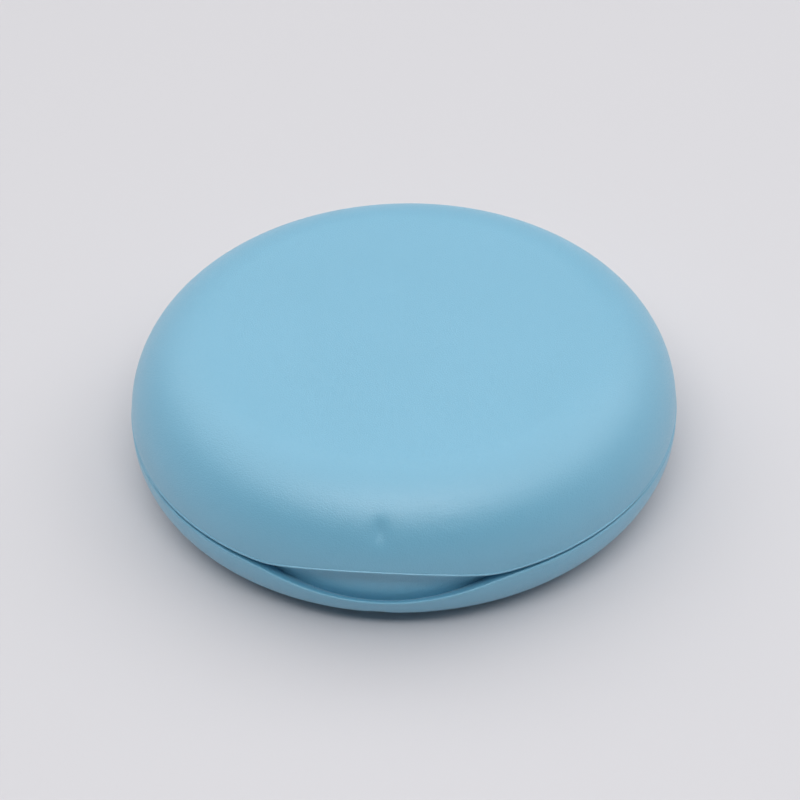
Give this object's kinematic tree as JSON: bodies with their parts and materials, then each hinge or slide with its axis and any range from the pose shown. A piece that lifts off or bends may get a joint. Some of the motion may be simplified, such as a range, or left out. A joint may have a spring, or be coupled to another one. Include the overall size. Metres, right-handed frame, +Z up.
{
  "type": "orthodontic retainer case",
  "caption": "Round moulded clamshell case for an orthodontic retainer, with a domed lid hinged at the back, a finger notch and snap hook at the front, and a flat foot.",
  "frame": {"origin": "centre of the round foot, on the plane that the case stands on", "axes": "+Z up, -Y towards the finger notch at the front, +Y towards the hinge at the back, +X to the right seen from the front"},
  "size_m": [0.09, 0.0907, 0.0248],
  "materials": {
    "blue_plastic": "satin, with a fine spark-eroded grain",
    "pin_steel": "drawn stainless steel"
  },
  "bodies": {
    "base": {"base_shell": "blue_plastic", "hinge_pin_left": "pin_steel", "hinge_pin_right": "pin_steel"},
    "lid": {"lid_shell": "blue_plastic"}
  },
  "joints": [
    {"name": "lid_hinge", "type": "hinge", "parent": "base", "child": "lid", "pos_m": [0, 0.0436, 0.01035], "axis": [-1, 0, 0], "range_deg": [0, 117]}
  ]
}
